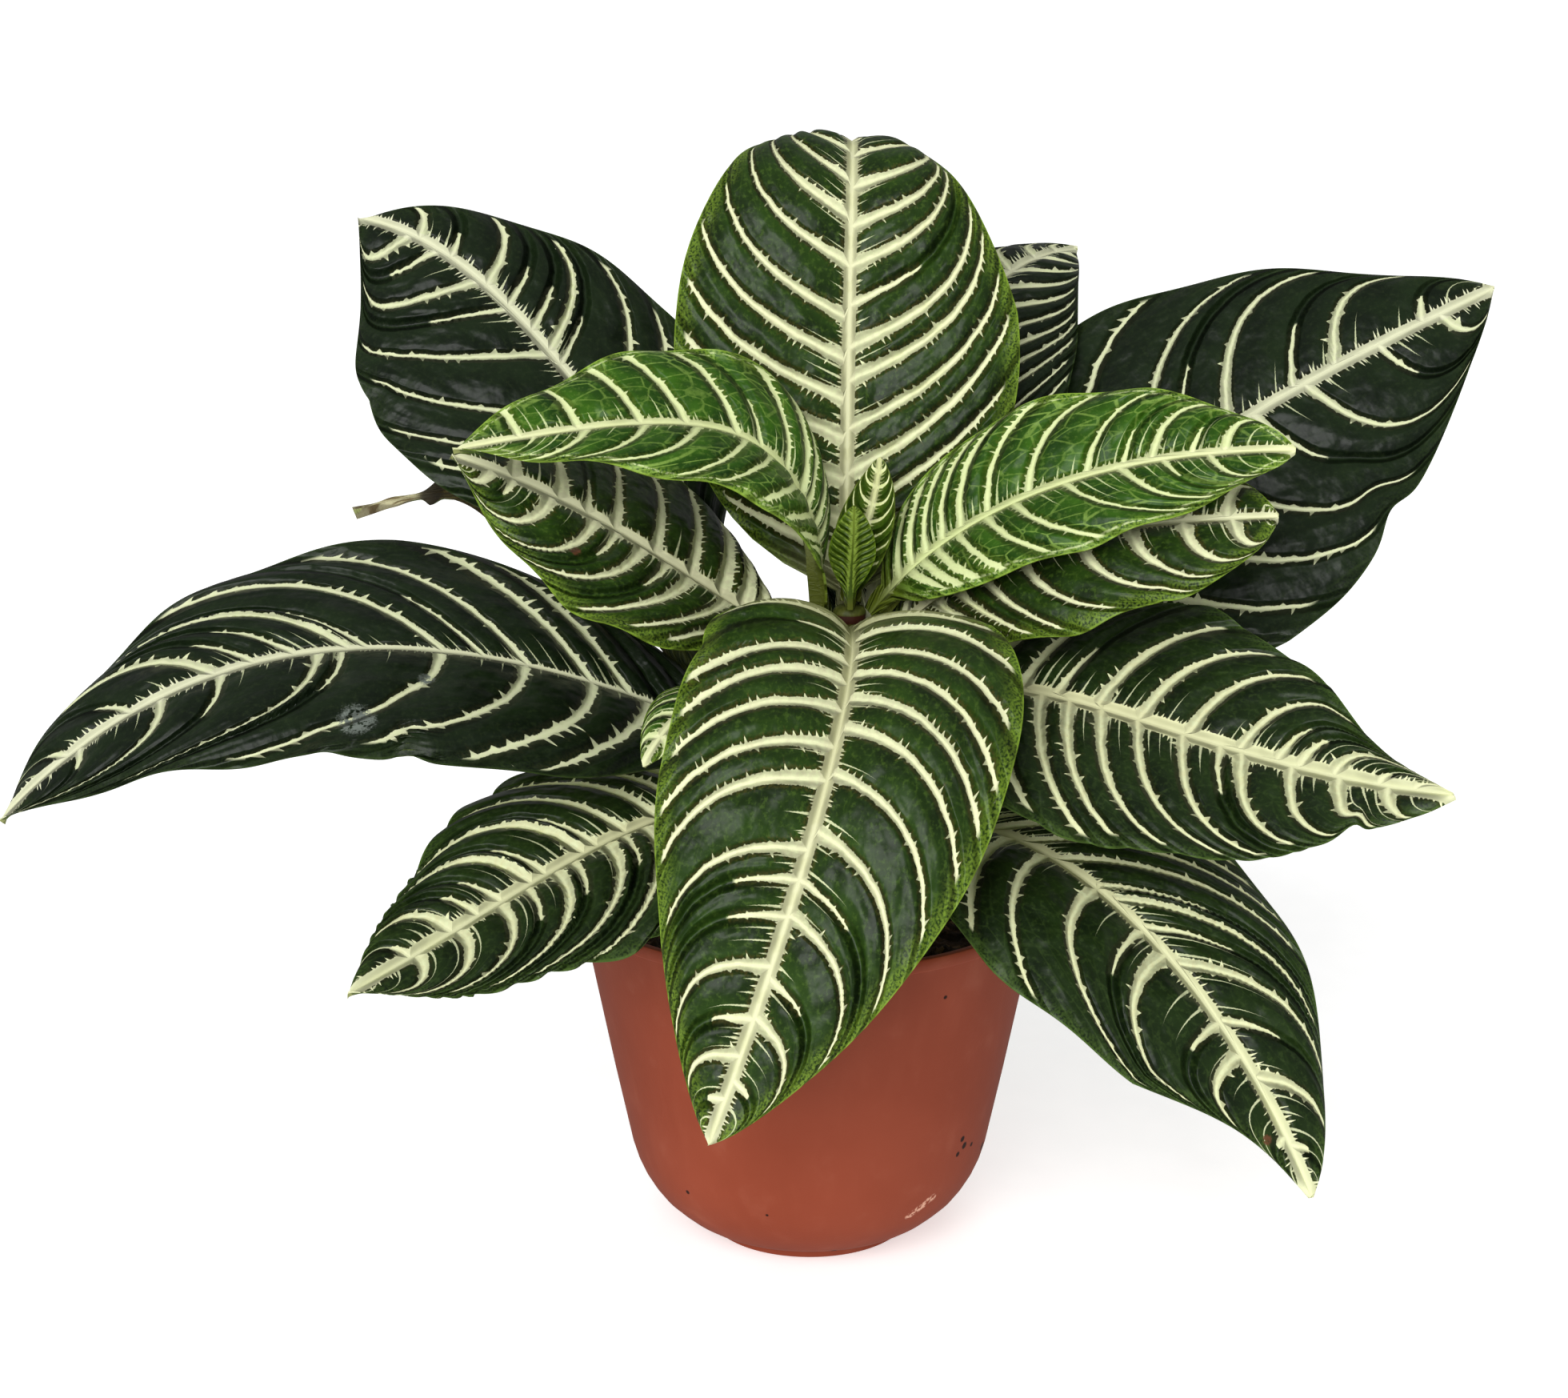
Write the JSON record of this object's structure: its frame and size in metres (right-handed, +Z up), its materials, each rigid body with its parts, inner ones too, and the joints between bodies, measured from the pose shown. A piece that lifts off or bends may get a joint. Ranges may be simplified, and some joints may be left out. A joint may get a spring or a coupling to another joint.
{
  "type": "potted zebra plant",
  "caption": "House plant with large white-veined leaves on a short upright stem, rooted in soil in a round tapered plastic pot.",
  "frame": {"origin": "middle of the pot's flat underside, on the surface it stands on", "axes": "+Z up along the pot's axis, -Y towards the plant's front, +X to its right as seen from the front"},
  "size_m": [0.4586, 0.2474, 0.3349],
  "materials": {
    "pot_plastic": "satin",
    "soil_mix": "matte",
    "stem_bark": "matte",
    "young_leaf": "satin",
    "mature_leaf": "satin"
  },
  "bodies": {
    "root": {"pot": "pot_plastic", "soil": "soil_mix", "stem": "stem_bark", "bud_leaf_front": "young_leaf", "bud_leaf_back": "young_leaf", "leaf_young_left": "young_leaf", "leaf_young_right": "young_leaf", "leaf_top_back": "mature_leaf", "leaf_front": "mature_leaf", "leaf_mid_left": "mature_leaf", "leaf_mid_right": "mature_leaf", "leaf_upper_left": "mature_leaf", "leaf_right_front": "mature_leaf", "leaf_right_back": "mature_leaf", "leaf_left_drooping": "mature_leaf", "leaf_lower_left": "mature_leaf", "leaf_back_curled": "mature_leaf", "leaf_lower_right": "mature_leaf", "leaf_hidden_left": "mature_leaf", "side_shoot_leaf": "young_leaf"}
  },
  "joints": []
}
